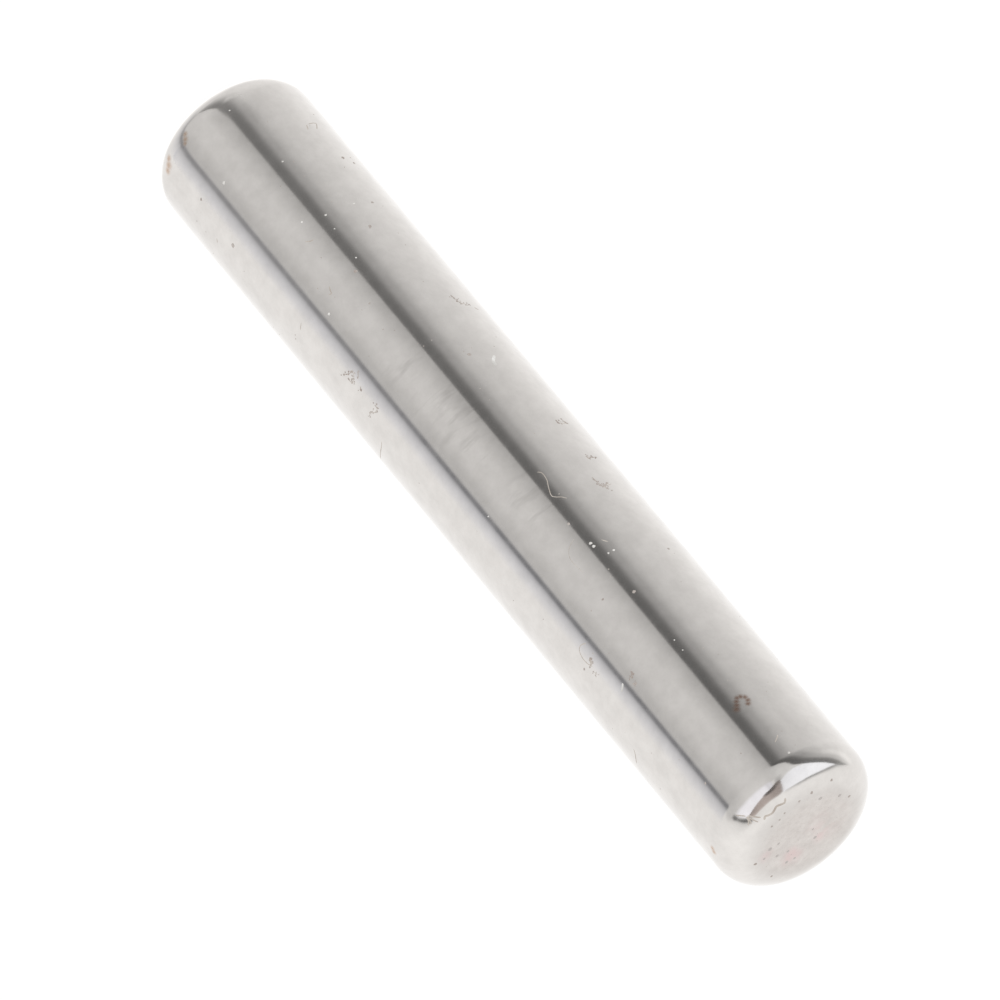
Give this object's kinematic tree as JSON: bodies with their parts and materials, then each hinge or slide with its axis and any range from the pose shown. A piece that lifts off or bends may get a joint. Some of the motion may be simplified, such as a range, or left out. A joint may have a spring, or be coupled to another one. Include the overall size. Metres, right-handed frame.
{
  "type": "dowel pin",
  "caption": "Straight solid dowel pin with a ground cylindrical shank and rounded corners at both flat ends, for locating one part on another.",
  "frame": {"origin": "centre of the lower flat end face, on the pin's axis", "axes": "+Z along the pin's axis, from the lower end face to the upper one; +X and +Y are free, because the pin is round"},
  "size_m": [0.005, 0.005, 0.03],
  "materials": {
    "steel": "bare hardened steel, ground and tumble-polished to a mirror, with no plating"
  },
  "bodies": {
    "root": {"pin": "steel"}
  },
  "joints": []
}
